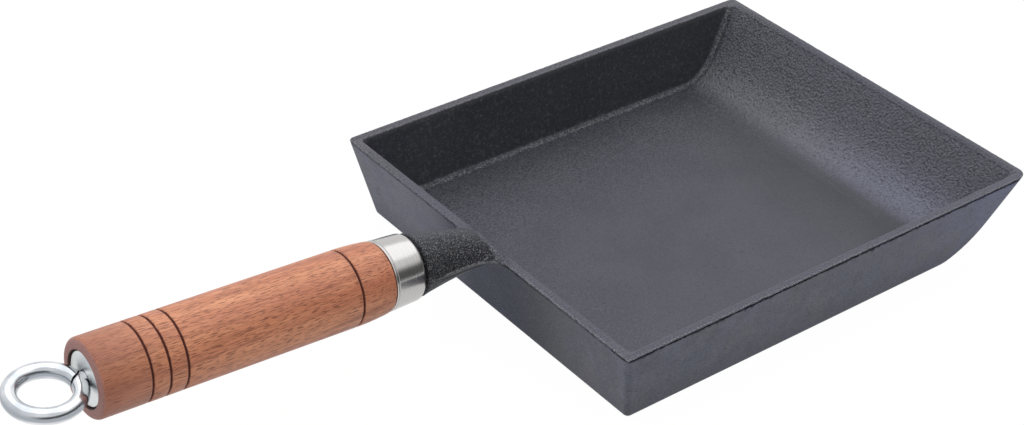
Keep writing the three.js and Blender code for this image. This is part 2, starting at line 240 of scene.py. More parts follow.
# the neck, drawn out in the handle's own frame: X across, Y out along the handle, Z up
HANDLE_RISE = math.radians(3.5)
rise_cos, rise_sin = math.cos(HANDLE_RISE), math.sin(HANDLE_RISE)
HANDLE_ROOT = Vector((-90 * MM, 0, 30.3 * MM))
handle_frame = Matrix.Translation(HANDLE_ROOT) @ Matrix(
    ((0, -rise_cos, rise_sin, 0), (1, 0, 0, 0), (0, rise_sin, rise_cos, 0), (0, 0, 0, 1)))
NECK_LENGTH, COLLAR_RADIUS, COLLAR_EDGE = 26.6 * MM, 10.5 * MM, 0.8 * MM
NECK_HALF_WIDTH, NECK_ROOT_DEPTH, NECK_PARTING_DROP = 8.8 * MM, 5.6 * MM, 1 * MM
NECK_NEAR_FILLET, NECK_FAR_FILLET, NECK_UNDER_FILLET = 8 * MM, 3.5 * MM, 1.6 * MM
SPIGOT_RADIUS, SPIGOT_LENGTH = 8 * MM, 5.2 * MM
SPIGOT_END = NECK_LENGTH + SPIGOT_LENGTH
HOLE_RADIUS, HOLE_DEPTH = 2.7 * MM, 18 * MM
SPIGOT_CORNER, SPIGOT_CHAMFER, HOLE_CHAMFER = 0.3 * MM, 0.6 * MM, 0.5 * MM
# 51 steps were found by trying: with 50 or 52 the join with the end wall leaves a bad edge or thin faces
NECK_SIDES, NECK_STEPS = 160, 51
SAND_ABOVE, SAND_BELOW = 0.16 * MM, 0.05 * MM
RIDGE_HEIGHT, RIDGE_WIDTH = 0.35 * MM, 0.55 * MM
neck_root = 0.4 * MM - HANDLE_END_WALL


def grow(start, end, share, power):
    """Goes from start to end as the neck runs out to its collar."""
    return start + (end - start) * share**power


def neck_point(along, station):
    """A point of the neck's skin: peaked above the parting ridge, round below it and at the collar."""
    turn = 2 * math.pi * station / NECK_SIDES
    outward = max(along, 0) / NECK_LENGTH
    from_root = (along - neck_root) / (NECK_LENGTH - neck_root)
    wall_under = -NECK_ROOT_DEPTH * HANDLE_END_INSET / PAN_HEIGHT
    side_fillet = NECK_NEAR_FILLET if math.sin(turn) < 0 else NECK_FAR_FILLET
    up = math.cos(turn)
    half = grow(NECK_HALF_WIDTH, COLLAR_RADIUS, outward, 3)
    half += fillet_reach(side_fillet, along) * min(1, max(0, 1 + 3 * up))
    parting = grow(-NECK_PARTING_DROP, 0, outward, 4)
    top = grow(0, COLLAR_RADIUS, from_root, 0.5)
    bottom = grow(NECK_ROOT_DEPTH, COLLAR_RADIUS, outward, 1.5)
    bottom += fillet_reach(NECK_UNDER_FILLET, along - wall_under)
    peak = grow(2, 1, outward, 0.5)
    high = (top - parting) * up**peak if up > 0 else (bottom + parting) * up
    point = Vector((half * math.sin(turn), along, parting + high))
    proud = RIDGE_HEIGHT * math.exp(-((high / RIDGE_WIDTH) ** 2)) * (1 + 0.5 * ragged(point, 1.5 * MM))
    point.x += math.copysign(proud, point.x)
    rough = ragged(point, 1.5 * MM) + 0.5 * ragged(point, 0.8 * MM)
    return point + Vector((math.sin(turn), 0, up)) * rough * (SAND_ABOVE if up > 0 else SAND_BELOW)


def round_ring(radius, along):
    """A turned ring at this place along the handle, for draw_out."""
    def place(station):
        turn = 2 * math.pi * station / NECK_SIDES
        return Vector((radius * math.sin(turn), along, radius * math.cos(turn)))
    return place


neck_cast = NECK_LENGTH - COLLAR_EDGE - neck_root
rings = [lambda s, a=neck_root + neck_cast * i / NECK_STEPS: neck_point(a, s) for i in range(NECK_STEPS + 1)]
rings += [round_ring(COLLAR_RADIUS - COLLAR_EDGE * (1 - math.cos(math.radians(a))),
                     NECK_LENGTH - COLLAR_EDGE * (1 - math.sin(math.radians(a))))
          for a in (22.5, 45, 67.5, 90)]
rings += [round_ring(radius, along) for radius, along in (
    (SPIGOT_RADIUS + SPIGOT_CORNER, NECK_LENGTH), (SPIGOT_RADIUS, NECK_LENGTH + SPIGOT_CORNER),
    (SPIGOT_RADIUS, SPIGOT_END - SPIGOT_CHAMFER), (SPIGOT_RADIUS - SPIGOT_CHAMFER, SPIGOT_END),
    (HOLE_RADIUS + HOLE_CHAMFER, SPIGOT_END), (HOLE_RADIUS, SPIGOT_END - HOLE_CHAMFER),
    (HOLE_RADIUS, SPIGOT_END - HOLE_DEPTH))]
neck = first_ring("pan_neck", NECK_SIDES)
draw_out(neck, rings)
neck.matrix_world = handle_frame
bpy.ops.object.transform_apply(location=True, rotation=True, scale=True)
apply_modifier(pan, "BOOLEAN", operation="UNION", solver="EXACT", object=neck)
bpy.data.objects.remove(neck)
bpy.ops.object.select_all(action="DESELECT")
pan.select_set(True)
bpy.context.view_layer.objects.active = pan
bpy.ops.object.shade_smooth_by_angle(angle=math.radians(50))
apply_modifier(pan, "WEIGHTED_NORMAL", keep_sharp=True)


class Channel:
    """A value or a colour on its way through a finish. Sums and products of values become Math nodes."""

    def __init__(self, tree, socket):
        self.tree, self.socket = tree, socket

    def node(self, kind, settings=None, sockets=None, output=0):
        """Adds any node: its settings first, then the values or links of its sockets."""
        made = self.tree.nodes.new(kind)
        for name, value in (settings or {}).items():
            setattr(made, name, value)
        for name, value in (sockets or {}).items():
            if isinstance(value, Channel):
                self.tree.links.new(value.socket, made.inputs[name])
            else:
                made.inputs[name].default_value = value
        return Channel(self.tree, made.outputs[output])

    def sums(self, operation, first, second=0.0):
        return self.node("ShaderNodeMath", {"operation": operation}, {0: first, 1: second})

    def __add__(self, other):
        return self.sums("ADD", self, other)

    def __radd__(self, other):
        return self.sums("ADD", other, self)

    def __sub__(self, other):
        return self.sums("SUBTRACT", self, other)

    def __rsub__(self, other):
        return self.sums("SUBTRACT", other, self)

    def __mul__(self, other):
        return self.sums("MULTIPLY", self, other)

    def __rmul__(self, other):
        return self.sums("MULTIPLY", other, self)

    def __truediv__(self, other):
        return self.sums("DIVIDE", self, other)

    def __pow__(self, other):
        return self.sums("POWER", self, other)

    def __abs__(self):
        return self.sums("ABSOLUTE", self)

    def axes(self):
        """The three numbers of a place."""
        parts = self.node("ShaderNodeSeparateXYZ", None, {0: self}).socket.node.outputs
        return [Channel(self.tree, part) for part in parts]

    def rise(self, low, high):
        """0 below low, 1 above high, and a smooth step between them. With low above high it falls instead."""
        return self.node("ShaderNodeMapRange", {"interpolation_type": "SMOOTHSTEP"},
                         {"Value": self, "From Min": low, "From Max": high})

    def blend(self, first, second):
        """A colour between two, by this value."""
        return self.node("ShaderNodeMix", {"data_type": "RGBA"}, {0: self, 6: first, 7: second}, 2)

    def grain(self, scale, detail=2.0, roughness=0.5, stretch=None):
        """Cloudy noise at this place, with so many waves to the metre, stretched along one axis if asked."""
        place = self
        if stretch:
            place = self.node("ShaderNodeVectorMath", {"operation": "MULTIPLY"}, {0: self, 1: stretch})
        return self.node("ShaderNodeTexNoise", None, {"Vector": place, "Scale": scale, "Detail": detail,
                                                      "Roughness": roughness})


def new_finish(name):
    """An empty finish: its material, its shader and the place on the piece."""
    material = bpy.data.materials.new(name)
    material.use_nodes = True
    tree = material.node_tree
    place = Channel(tree, tree.nodes.new("ShaderNodeTexCoord").outputs["Object"])
    return material, tree.nodes["Principled BSDF"], place


def feed(shader, name, channel):
    """Links a channel to one of the shader's sockets."""
    channel.tree.links.new(channel.socket, shader.inputs[name])


def on_handle(place):
    """The place in the handle's own frame, so that a pattern runs along the handle's axis."""
    return place.node("ShaderNodeMapping", {"vector_type": "TEXTURE"}, {
        "Vector": place, "Location": handle_frame.translation, "Rotation": handle_frame.to_euler()})


# the skin's finish: first where on the pan a point lies, as masks from 0 to 1
iron, shader, place = new_finish("blackened_cast_iron")
x, y, z = place.axes()
along, up = on_handle(place).axes()[1:]
into_side = abs(y) - z * (SIDE_INSET / PAN_HEIGHT) - (RIM_WIDTH / 2 - SIDE_WALL - SIDE_INSET)
into_end = 0 - x - z * (HANDLE_END_INSET / PAN_HEIGHT) - (RIM_LENGTH / 2 - HANDLE_END_WALL - HANDLE_END_INSET)
into_wall = place.sums("MAXIMUM", into_side, into_end)
lean_foot = RIM_LENGTH / 2 - FLARE_WALL / 2 - PAN_HEIGHT * math.tan(FLARE_LEAN)
lean_line = x - z * math.tan(FLARE_LEAN) - lean_foot
bend_x, bend_z = place.sums("MAXIMUM", x - flare_line(RIM_LENGTH / 2, 0, FLARE_BEND, 0), 0.0), z - FLARE_BEND
bend_line = (bend_x * bend_x + bend_z * bend_z) ** 0.5 - (FLARE_BEND - FLARE_WALL / 2)
below = bend_line.rise(-0.6 * MM, 0.6 * MM) * z.rise(13 * MM, 11 * MM)
below = place.sums("MAXIMUM", below, lean_line.rise(-0.6 * MM, 0.6 * MM))
inside = into_side.rise(2.0 * MM, 1.2 * MM) * into_end.rise(2.2 * MM, 1.4 * MM) * (1 - below)
off_wall = into_wall.rise(-1.2 * MM, -2.8 * MM) * inside
lip = x.rise(56 * MM, 72 * MM) * off_wall
well_wall = into_wall.rise(-0.5 * MM, -0.1 * MM) * inside
rim = z.rise(29.5 * MM, 29.8 * MM)
neck_part = x.rise(-90.2 * MM, -92 * MM)
neck_top = ((along - neck_root) / (NECK_LENGTH - neck_root)) ** 0.5 * COLLAR_RADIUS
up_neck = up / neck_top
parting = ((along / NECK_LENGTH) ** 4 - 1) * NECK_PARTING_DROP
above_parting = up - parting
neck_upper = neck_part * above_parting.rise(-0.4 * MM, 0.2 * MM)
neck_under = neck_part * above_parting.rise(-0.2 * MM, -0.8 * MM)
outside = (1 - inside) * (1 - neck_part)

# the sand's grain in several sizes, stains, and lines that waver with the grain
sand = place.grain(1100, 2.0, 0.55)
fine_sand = place.grain(2300, 1.5, 0.55)
dust = place.grain(1700, 1.5, 0.6)
mottle = place.grain(55, 4.0, 0.55)
blotch = place.grain(170, 3.0, 0.6)
tint = place.grain(80, 2.0, 0.5)
waver = place.grain(750, 2.0, 0.6) - 0.5
light_speck = place.grain(1250, 0.5, 0.5).rise(0.68, 0.78)
dark_speck = place.grain(640, 1.5, 0.5).rise(0.33, 0.24)
# the fillet at the foot of the inner walls: more sand, and a painted highlight along it
valley_line = into_wall + waver * (3 * MM)
valley = valley_line.rise(-1.8 * MM, -1.2 * MM) * valley_line.rise(0.1 * MM, -0.6 * MM) * inside
valley = valley * (1 - well_wall * (0.35 + x.rise(-60 * MM, 10 * MM) * 0.25))
ridge = neck_part * abs(above_parting).rise(0.8 * MM, 0.3 * MM) * along.rise(24 * MM, 18 * MM)
ridge = ridge * abs(y).rise(3 * MM, 6 * MM)
grit_zone = y.rise(2 * MM, -2.5 * MM) + y.rise(7 * MM, 9.5 * MM)
grit_zone = grit_zone * (up_neck.rise(0.25, 0.75) * 0.9 + along.rise(7 * MM, 1 * MM) * 0.5 + 0.08)
near_side = y.rise(-60 * MM, -70 * MM)
# the parting crease below the rim, painted near-black as shade
crease_line = z + waver * (1.4 * MM)
crease = crease_line.rise(CREASE_FOOT - 0.15 * MM, CREASE_FOOT + 0.2 * MM)
crease = crease * crease_line.rise(CREASE_TOP + 0.27 * MM, CREASE_TOP + 0.02 * MM)
crease = crease * outside * (1 - rim)
crease = crease * (0.15 + near_side * 0.85) * (0.35 + sand.rise(0.40, 0.56) * 0.65)

# how strongly the sand stands out, for the bump and for the colour
rim_grit = rim * into_end.rise(-0.5 * MM, 0.3 * MM) * y.rise(-32 * MM, -14 * MM) * y.rise(4 * MM, -2 * MM)
collar_grit = neck_under * along.rise(18 * MM, 23 * MM) * y.rise(-2 * MM, -6 * MM)
grit = neck_upper * grit_zone + rim_grit * 0.8 + collar_grit * 0.6
rougher = (y.rise(0, 60 * MM) * 0.09 + x.rise(-30 * MM, -80 * MM) * 0.04) * off_wall
pebbled = 0.02 + rougher + lip + well_wall * 0.12 + valley * 0.6 + rim * 0.2
height = (sand * pebbled + fine_sand * pebbled * 0.2) * (1 - well_wall * 0.95) + fine_sand * grit * 0.5
feed(shader, "Normal", place.node("ShaderNodeBump", None, {
    "Strength": 1.0, "Distance": 1.3 * MM, "Height": height}))

# the colour: tones by place, some of them for the shade that the photo shows there, then grain and dust
skin = mottle.rise(0.3, 0.7).blend((0.061, 0.062, 0.076, 1), (0.075, 0.076, 0.090, 1))
# painted shade: the inner walls darker, less so at the handle end
skin = (well_wall * (0.5 - x.rise(-20 * MM, -75 * MM) * 0.3)).blend(skin, (0.034, 0.035, 0.037, 1))
# painted highlight: the top of the inner walls, just under the rim, paler
under_rim_highlight = well_wall * (z + waver * (1.5 * MM)).rise(27.6 * MM, 29.8 * MM)
skin = (under_rim_highlight * 0.5).blend(skin, (0.13, 0.131, 0.138, 1))
# painted shade: a darker, less blue band on the floor before the flare
shade_before_lip = x.rise(16 * MM, 54 * MM) * x.rise(70 * MM, 58 * MM) * off_wall
skin = (shade_before_lip * 0.3).blend(skin, (0.047, 0.051, 0.043, 1))
# painted shade: the floor darker towards the far wall
far_floor_shade = y.rise(0, 50 * MM) * x.rise(-75 * MM, -30 * MM) * x.rise(48 * MM, 20 * MM) * off_wall
skin = (far_floor_shade * 0.3).blend(skin, (0.030, 0.030, 0.034, 1))
# painted light: the floor paler towards the side walls
lit_floor_sides = abs(y).rise(10 * MM, 60 * MM) * x.rise(60 * MM, 30 * MM) * off_wall
skin = (lit_floor_sides * 0.5).blend(skin, (0.084, 0.087, 0.100, 1))
# painted highlight: the flare pale low down, bluer on the near side, darker towards its top
lip_sheen_tone = y.rise(40 * MM, -40 * MM).blend((0.187, 0.190, 0.205, 1), (0.200, 0.206, 0.262, 1))
lip_sheen_tone = x.rise(70 * MM, 82 * MM).blend(lip_sheen_tone, (0.124, 0.126, 0.146, 1))
skin = (x.rise(60 * MM, 69 * MM) * off_wall).blend(skin, lip_sheen_tone)
# painted light: the outer walls paler and bluer towards the flared end on the near side
lit_and_bluer = x.rise(20 * MM, 85 * MM) * y.rise(10 * MM, -70 * MM)
wall_tone = lit_and_bluer.blend((0.083, 0.086, 0.110, 1), (0.102, 0.115, 0.196, 1))
handle_end = x.rise(-80 * MM, -83 * MM)
# painted light and shade on the handle end: paler towards the far side, darker from the neck towards the near
# side
wall_tone = (handle_end * y.rise(-30 * MM, 30 * MM)).blend(wall_tone, (0.101, 0.103, 0.132, 1))
wall_tone = (handle_end * y.rise(10 * MM, -40 * MM)).blend(wall_tone, (0.064, 0.065, 0.084, 1))
# painted light: the handle end paler again at its near corner
lit_near_corner = handle_end * y.rise(-66 * MM, -69.5 * MM)
wall_tone = (lit_near_corner * 0.5).blend(wall_tone, (0.12, 0.122, 0.160, 1))
wall_tone = (blotch.rise(0.5, 0.75) * 0.85).blend(wall_tone, (0.052, 0.053, 0.066, 1))
wall_tone = (blotch.rise(0.5, 0.25) * 0.7).blend(wall_tone, (0.120, 0.124, 0.166, 1))
wall_tone = (tint.rise(0.5, 0.68) * 0.7).blend(wall_tone, (0.077, 0.085, 0.122, 1))
wall_tone = (tint.rise(0.5, 0.32) * 0.7).blend(wall_tone, (0.098, 0.093, 0.108, 1))
# painted shade: the outer walls darker towards the foot
wall_tone = (z.rise(14 * MM, 1 * MM) * 0.5).blend(wall_tone, (0.034, 0.035, 0.048, 1))
skin = outside.blend(skin, wall_tone)
rim_tone = y.rise(30 * MM, 60 * MM).blend((0.081, 0.082, 0.103, 1), (0.091, 0.088, 0.100, 1))
skin = rim.blend(skin, rim_tone)
# light crumbs of flash on the rim's outer edge, and a painted highlight along the side rims' inner edge,
# speckled by the sand
flash_and_edge_highlight = into_end.rise(2.6 * MM, 3.1 * MM) * (0.15 + y.rise(10 * MM, -15 * MM) * 0.6)
flash_and_edge_highlight = flash_and_edge_highlight + into_side.rise(2.1 * MM, 2.7 * MM) * near_side * 0.7
flash_and_edge_highlight = flash_and_edge_highlight + into_side.rise(0.9 * MM, 0.4 * MM) * (near_side * 0.25 + y.rise(60 * MM, 70 * MM) * 0.4)
skin = (flash_and_edge_highlight * rim * fine_sand.rise(0.48, 0.60)).blend(skin, (0.27, 0.27, 0.28, 1))
# painted shade: the handle end's outer wall nearly black beside and under the neck
shade_beside_neck = y.rise(-58 * MM, -26 * MM) * y.rise(34 * MM, 6 * MM) * handle_end * outside * (1 - rim)
skin = (shade_beside_neck * 0.9).blend(skin, (0.017, 0.017, 0.012, 1))
shade_under_neck = shade_beside_neck * y.rise(-44 * MM, -10 * MM)
# painted light: the neck's top paler than its flanks
neck_lit_tone = up_neck.rise(0.5, 1.0).blend((0.023, 0.023, 0.026, 1), (0.056, 0.057, 0.064, 1))
skin = neck_upper.blend(skin, neck_lit_tone)
# painted shade: the neck's underside nearly black
skin = neck_under.blend(skin, (0.014, 0.015, 0.014, 1))
skin = (sand.rise(0.50, 0.72) * pebbled * 0.35).blend(skin, (0.24, 0.246, 0.285, 1))
skin = (sand.rise(0.47, 0.27) * pebbled * 0.5).blend(skin, (0.016, 0.016, 0.018, 1))
skin = (fine_sand.rise(0.52, 0.66) * grit).blend(skin, (0.23, 0.23, 0.24, 1))
skin = (fine_sand.rise(0.44, 0.30) * grit * 0.25).blend(skin, (0.018, 0.018, 0.020, 1))
# painted highlight along the fillet at the foot of the inner walls, speckled by the sand
skin = (valley * fine_sand.rise(0.44, 0.60) * 0.9).blend(skin, (0.20, 0.203, 0.205, 1))
skin = (ridge * fine_sand.rise(0.3, 0.55)).blend(skin, (0.26, 0.26, 0.27, 1))
specked = 0.07 + well_wall * 0.15 + valley * 0.3 + lip * 0.06
skin = (light_speck * specked).blend(skin, (0.26, 0.26, 0.27, 1))
dusty = 0.5 + outside * 1.1 + rim * (0.6 + y.rise(40 * MM, 60 * MM)) + rougher * 16
skin = (dust.rise(0.5, 0.72) * dusty * 0.24).blend(skin, (0.155, 0.158, 0.190, 1))
skin = (dust.rise(0.5, 0.28) * dusty * 0.40).blend(skin, (0.018, 0.018, 0.022, 1))
skin = (dark_speck * 0.35).blend(skin, (0.018, 0.018, 0.022, 1))
# painted shade: the parting crease nearly black
skin = crease.blend(skin, (0.006, 0.006, 0.007, 1))
feed(shader, "Base Color", skin)
feed(shader, "Roughness", 0.38 + mottle * 0.08 + pebbled * 0.08 + neck_upper * 0.06 + crease * 0.4)
# the painted shade under the neck also gets more metal, which darkens it further
feed(shader, "Metallic", 0.25 + shade_under_neck * 0.6)
shader.inputs["Specular IOR Level"].default_value = 0.38
shader.inputs["Specular Tint"].default_value = (0.80, 0.83, 1.0, 1)
pan.data.materials.clear()
pan.data.materials.append(iron)
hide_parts("pan_casting")
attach(pan, "pan")


# The ferrule: a short sleeve drawn from stainless sheet, its front lip turned in over the tenon, its back
# edge rolled against the wood. It is polished on the lathe and pressed on the grip's tenon.
FERRULE_FRONT, FERRULE_BACK = 28.0 * MM, 39.5 * MM
FERRULE_FRONT_RADIUS, FERRULE_BACK_RADIUS, FERRULE_SHEET = 11.1 * MM, 11.6 * MM, 0.8 * MM
FERRULE_EDGE, BEAD_RADIUS, BEAD_GROOVE = 1.2 * MM, 0.4 * MM, 0.22 * MM
# the groove before the bead: its start and its floor, from the back edge
BEAD_GROOVE_START, BEAD_GROOVE_FLOOR = 1.1 * MM, (0.95 * MM, 0.8 * MM)
LIP_CLEAR, WELD_DISTANCE = 0.3 * MM, 0.005 * MM
TURNED_SIDES, SMOOTH_BELOW = 128, math.radians(40)


def arc(radius, along, round_radius, start, end, steps):
    """Outline points of a rounded edge about (radius, along), from start to end, 90 being outwards."""
    turns = [math.radians(start + (end - start) * i / steps) for i in range(steps + 1)]
    return [(radius + round_radius * math.sin(t), along - round_radius * math.cos(t)) for t in turns]


def turn_piece(name, outline, sides):
    """Turns an outline of (radius, place along the handle) round the handle's axis and closes it."""
    bpy.ops.object.select_all(action="DESELECT")
    radius, along = outline[0]
    bpy.ops.mesh.primitive_circle_add(vertices=sides, radius=radius, location=(0, along, 0),
                                      rotation=(math.pi / 2, 0, 0))
    piece = bpy.context.object
    piece.name = name
    bpy.ops.object.transform_apply(location=True, rotation=True, scale=True)
    bpy.ops.object.mode_set(mode="EDIT")
    bpy.ops.mesh.select_mode(type="EDGE")
    bpy.ops.mesh.select_all(action="SELECT")
    for new_radius, new_along in outline[1:] + outline[:1]:
        bpy.ops.mesh.extrude_region_move(TRANSFORM_OT_translate={"value": (0, new_along - along, 0)})
        share = new_radius / radius
        bpy.ops.transform.resize(value=(share, 1, share), center_override=(0, new_along, 0))
        radius, along = new_radius, new_along
    bpy.ops.mesh.select_all(action="SELECT")
    bpy.ops.mesh.remove_doubles(threshold=WELD_DISTANCE)
    bpy.ops.mesh.normals_make_consistent(inside=False)
    bpy.ops.object.mode_set(mode="OBJECT")
    piece.matrix_world = handle_frame
    bpy.ops.object.transform_apply(location=True, rotation=True, scale=True)
    bpy.ops.object.shade_smooth_by_angle(angle=SMOOTH_BELOW)
    return piece


inner_edge = FERRULE_EDGE - FERRULE_SHEET
front_edge = (FERRULE_FRONT_RADIUS - FERRULE_EDGE, FERRULE_FRONT + FERRULE_EDGE)
flank_length = FERRULE_BACK - FERRULE_FRONT - FERRULE_EDGE - BEAD_GROOVE_START
lip_radius = SPIGOT_RADIUS + LIP_CLEAR
ferrule_outline = [(lip_radius, FERRULE_FRONT + FERRULE_SHEET)]
ferrule_outline += arc(lip_radius + FERRULE_SHEET / 2, FERRULE_FRONT + FERRULE_SHEET / 2,
                       FERRULE_SHEET / 2, -90, 0, 4)
ferrule_outline += arc(*front_edge, FERRULE_EDGE, 0, 88, 9)
ferrule_outline += [(FERRULE_FRONT_RADIUS + (FERRULE_BACK_RADIUS - FERRULE_FRONT_RADIUS) * s,
                     FERRULE_FRONT + FERRULE_EDGE + flank_length * s)
                    for s in (0.25, 0.5, 0.75, 0.97, 1)]
ferrule_outline += [(FERRULE_BACK_RADIUS - BEAD_GROOVE, FERRULE_BACK - d) for d in BEAD_GROOVE_FLOOR]
ferrule_outline += arc(FERRULE_BACK_RADIUS - BEAD_RADIUS, FERRULE_BACK - BEAD_RADIUS, BEAD_RADIUS, 50, 180, 8)
ferrule_outline += [(FERRULE_BACK_RADIUS - FERRULE_SHEET, FERRULE_BACK)]
ferrule_outline += arc(*front_edge, inner_edge, 90, 0, 4)
ferrule = turn_piece("ferrule_sleeve", ferrule_outline, TURNED_SIDES)


steel, shader, place = new_finish("polished_stainless")
spot = on_handle(place)
brushing = spot.grain(420, 3.0, 0.6, (0.2, 7, 0.2))
haze = spot.grain(900, 2.0, 0.6)
feed(shader, "Base Color", brushing.rise(0.25, 0.75).blend((0.515, 0.507, 0.50, 1), (0.585, 0.577, 0.57, 1)))
feed(shader, "Roughness", 0.13 + brushing * 0.06 + haze * 0.08)
shader.inputs["Metallic"].default_value = 1
feed(shader, "Normal", place.node("ShaderNodeBump", None, {
    "Strength": 0.05, "Distance": 0.05 * MM, "Height": brushing + haze * 0.6}))
ferrule.data.materials.append(steel)
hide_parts("ferrule")
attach(ferrule, "handle")


# The grip: turned beech, stained reddish and thinly varnished. Its tenon sits in the ferrule, its front
# swells behind it, four grooves are burned in with a wire, and the end is counterbored for the washer.
GRIP_RADIUS, GRIP_FRONT, GRIP_SHOULDER, GRIP_END = 12.5 * MM, 32.1 * MM, 39.8 * MM, 141.2 * MM
TENON_RADIUS, SHOULDER_RADIUS = FERRULE_FRONT_RADIUS - FERRULE_EDGE - 0.1 * MM, FERRULE_BACK_RADIUS + 0.1 * MM
SWELL_LENGTH, END_ROUND, SHOULDER_ROUND = 12 * MM, 1.6 * MM, 0.35 * MM
GROOVES = [GRIP_SHOULDER + 12.6 * MM] + [GRIP_END - 16 * MM - 5.85 * MM * i for i in (2, 1, 0)]
GROOVE_WIDTH, GROOVE_DEPTH = 1.0 * MM, 0.5 * MM
# half a groove from its edge to its middle: share of the half width, share of the depth
GROOVE_SHAPE = ((1.25, 0), (1, 0.12), (0.62, 0.8), (0.25, 1))
TENON_CHAMFER, COUNTERBORE_ROUND = 0.5 * MM, 0.3 * MM
GRAIN_SLOPE = (0.03, 0, 0.05)
COUNTERBORE_FLOOR, COUNTERBORE_RADIUS, BORE_RADIUS = 138.5 * MM, 8.95 * MM, 2.7 * MM


def grip_radius(along):
    """The turned line of the grip: a quick swell behind the ferrule, then straight."""
    share = min(1, max(0, (along - GRIP_SHOULDER) / SWELL_LENGTH))
    return SHOULDER_RADIUS + (GRIP_RADIUS - SHOULDER_RADIUS) * (1 - (1 - share) ** 2)


grip_outline = [(BORE_RADIUS, GRIP_FRONT), (TENON_RADIUS - TENON_CHAMFER, GRIP_FRONT),
                (TENON_RADIUS, GRIP_FRONT + TENON_CHAMFER), (TENON_RADIUS, GRIP_SHOULDER)]
grip_outline += arc(SHOULDER_RADIUS - SHOULDER_ROUND, GRIP_SHOULDER + SHOULDER_ROUND,
                    SHOULDER_ROUND, 0, 80, 4)
stations = [GRIP_SHOULDER + SWELL_LENGTH * i / 14 for i in range(1, 15)]
stations += [GRIP_SHOULDER + 20 * MM + 6 * MM * i for i in range(9)]
outer_line = [(grip_radius(s), s) for s in stations]
for groove in GROOVES:
    outer_line = [p for p in outer_line if abs(p[1] - groove) > GROOVE_WIDTH]
    outer_line += [(grip_radius(groove) - GROOVE_DEPTH * deep, groove + side * GROOVE_WIDTH / 2 * aside)
                   for side in (-1, 1) for aside, deep in GROOVE_SHAPE]
grip_outline += sorted(outer_line, key=lambda p: p[1])
grip_outline += arc(GRIP_RADIUS - END_ROUND, GRIP_END - END_ROUND, END_ROUND, 90, 180, 9)
grip_outline += arc(COUNTERBORE_RADIUS + COUNTERBORE_ROUND, GRIP_END - COUNTERBORE_ROUND,
                    COUNTERBORE_ROUND, 180, 270, 4)
grip_outline += [(COUNTERBORE_RADIUS, COUNTERBORE_FLOOR), (BORE_RADIUS, COUNTERBORE_FLOOR)]
grip = turn_piece("beech_grip", grip_outline, TURNED_SIDES)

beech, shader, place = new_finish("stained_beech")
spot = on_handle(place)
across, along, up = spot.axes()
slope = spot.node("ShaderNodeMapping", {"vector_type": "POINT"}, {
    "Vector": spot, "Rotation": GRAIN_SLOPE})
broad = slope.grain(110, 2.0, 0.5, (1, 0.05, 1))
streak = slope.grain(420, 3.0, 0.65, (1, 0.025, 1))
fibre = slope.grain(2600, 2.0, 0.6, (1, 0.035, 1))
fleck = slope.grain(3500, 1.0, 0.5, (1, 0.085, 1)).rise(0.53, 0.65)
from_axis = (across * across + up * up) ** 0.5
wood = broad.rise(0.3, 0.7).blend((0.57, 0.20, 0.105, 1), (0.76, 0.325, 0.17, 1))
wood = (streak.rise(0.50, 0.72) * 0.55).blend(wood, (0.33, 0.115, 0.06, 1))
wood = (streak.rise(0.48, 0.28) * 0.7).blend(wood, (0.80, 0.375, 0.205, 1))
wood = (fibre.rise(0.45, 0.70) * 0.45).blend(wood, (0.28, 0.092, 0.05, 1))
wood = (fleck * 0.75).blend(wood, (0.20, 0.058, 0.028, 1))
wood = (along.rise(GRIP_END - 30 * MM, GRIP_END) * 0.6).blend(wood, (0.26, 0.083, 0.052, 1))
end_face = along.rise(GRIP_END - 0.9 * MM, GRIP_END - 0.3 * MM)
pores = spot.grain(1700, 1.0, 0.5).rise(0.5, 0.65)
end_wood = (pores * 0.5).blend((0.34, 0.165, 0.145, 1), (0.21, 0.092, 0.078, 1))
wood = end_face.blend(wood, end_wood)
# painted shade: the inside of the counterbore nearly black
hollow_shade = along.rise(GRIP_END - 4 * MM, GRIP_END - 3.5 * MM) * from_axis.rise(9.35 * MM, 9.05 * MM)
wood = hollow_shade.blend(wood, (0.06, 0.026, 0.018, 1))
wavy = along + (spot.grain(700, 2.0, 0.5) - 0.5) * (0.25 * MM)
burn = 0
for groove in GROOVES:
    burn = burn + abs(wavy - groove).rise(0.50 * MM, 0.28 * MM)
wood = burn.blend(wood, (0.075, 0.014, 0.009, 1))
feed(shader, "Base Color", wood)
feed(shader, "Roughness", 0.40 + fibre * 0.12 + burn * 0.4 + end_face * 0.12)
feed(shader, "Normal", place.node("ShaderNodeBump", None, {
    "Strength": 0.25, "Distance": 0.12 * MM, "Height": fibre * 0.6 - fleck * 0.5}))
grip.data.materials.append(beech)
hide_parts("handle_grip")
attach(grip, "handle")


# The washer: a large flat washer stamped from steel and zinc plated, one edge rounded by the die. It lies in
# the counterbore under the eye and spreads the bolt's pull over the end grain.
WASHER_FRONT, WASHER_BACK, WASHER_RADIUS = 138.8 * MM, 140.6 * MM, 8.6 * MM
FRONT_CHAMFER, DIE_ROUND, HOLE_ROUND, WASHER_SIDES = 0.1 * MM, 0.4 * MM, 0.15 * MM, 96
washer_outline = [(BORE_RADIUS, WASHER_FRONT), (WASHER_RADIUS - FRONT_CHAMFER, WASHER_FRONT),
                  (WASHER_RADIUS, WASHER_FRONT + FRONT_CHAMFER)]
washer_outline += arc(WASHER_RADIUS - DIE_ROUND, WASHER_BACK - DIE_ROUND, DIE_ROUND, 90, 180, 6)
washer_outline += arc(BORE_RADIUS + HOLE_ROUND, WASHER_BACK - HOLE_ROUND, HOLE_ROUND, 180, 270, 3)
washer = turn_piece("end_washer_disc", washer_outline, WASHER_SIDES)


